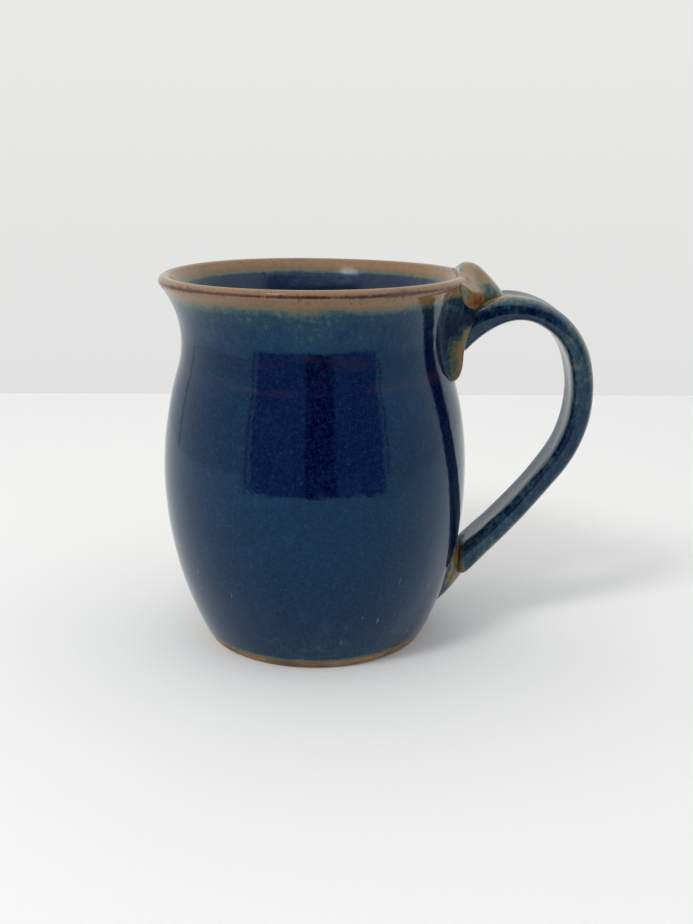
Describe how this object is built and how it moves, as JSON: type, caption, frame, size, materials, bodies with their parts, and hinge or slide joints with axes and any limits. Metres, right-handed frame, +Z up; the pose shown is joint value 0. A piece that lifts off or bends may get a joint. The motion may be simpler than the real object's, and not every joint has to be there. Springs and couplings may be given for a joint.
{
  "type": "shaving mug",
  "caption": "Wheel-thrown stoneware shaving mug with a full belly, waisted neck, flared rim, pulled strap handle and thumb rest, glazed blue over a bare clay foot.",
  "frame": {"origin": "centre of the flat foot, on the axis that the pot was thrown about", "axes": "+Z up along the pot's axis, +X towards the handle, XZ the handle's own middle plane"},
  "size_m": [0.1301, 0.0928, 0.1154],
  "materials": {
    "bare_clay": "matte",
    "blue_glaze": "gloss",
    "liner_glaze": "gloss",
    "handle_glaze": "gloss"
  },
  "bodies": {
    "root": {"thrown_body": "bare_clay", "handle_strap": "bare_clay", "thumb_rest": "bare_clay", "upper_root_clay": "bare_clay", "lower_root_clay": "bare_clay", "body_glaze": "blue_glaze", "liner_glaze": "liner_glaze", "handle_glaze": "handle_glaze"}
  },
  "joints": []
}
